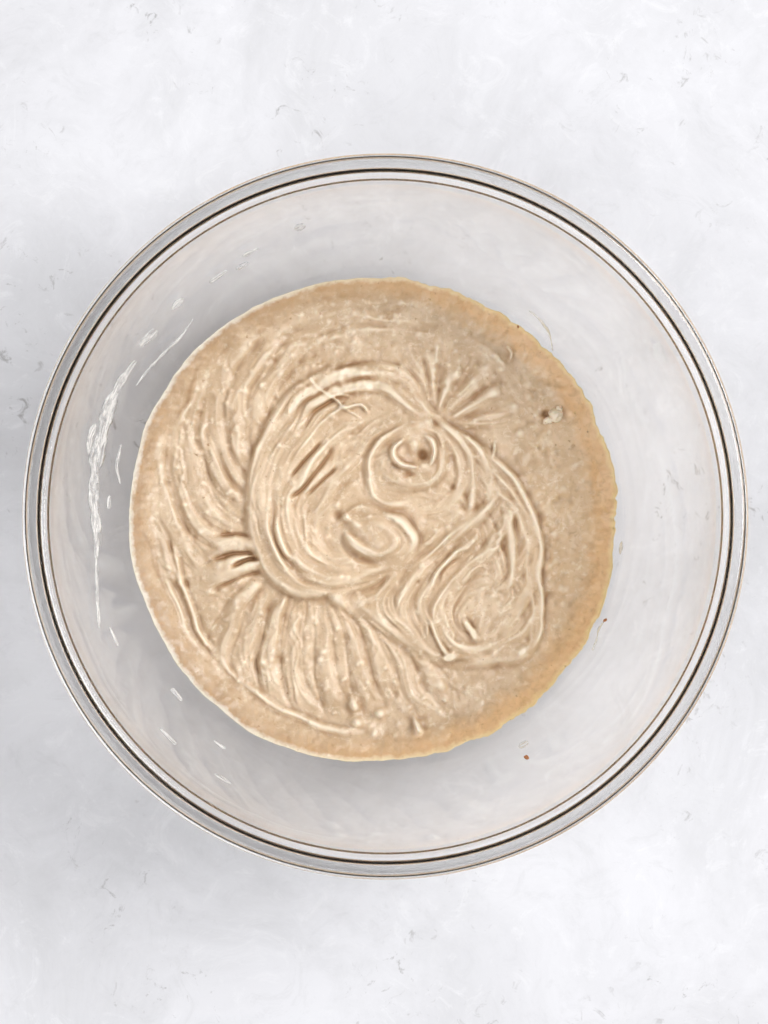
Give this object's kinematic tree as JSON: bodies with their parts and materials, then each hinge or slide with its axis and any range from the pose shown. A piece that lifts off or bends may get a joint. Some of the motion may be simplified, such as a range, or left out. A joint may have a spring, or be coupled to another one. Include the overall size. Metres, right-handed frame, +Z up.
{
  "type": "mixing bowl",
  "caption": "Deep round clear glass mixing bowl with a thick rolled collar and a flat foot ring, holding a batch of stirred batter.",
  "frame": {"origin": "middle of the bowl's foot, on the surface that it stands on", "axes": "+Z up along the bowl's turning axis; the bowl is the same all round, and the batter's swirls run towards -Y and +X"},
  "size_m": [0.29, 0.29, 0.12],
  "materials": {
    "clear_glass": "polished, clear, faint grey-green tint",
    "batter": "thick stirred batter with a soft sheen"
  },
  "bodies": {
    "root": {"glass_bowl": "clear_glass", "batter": "batter"}
  },
  "joints": []
}
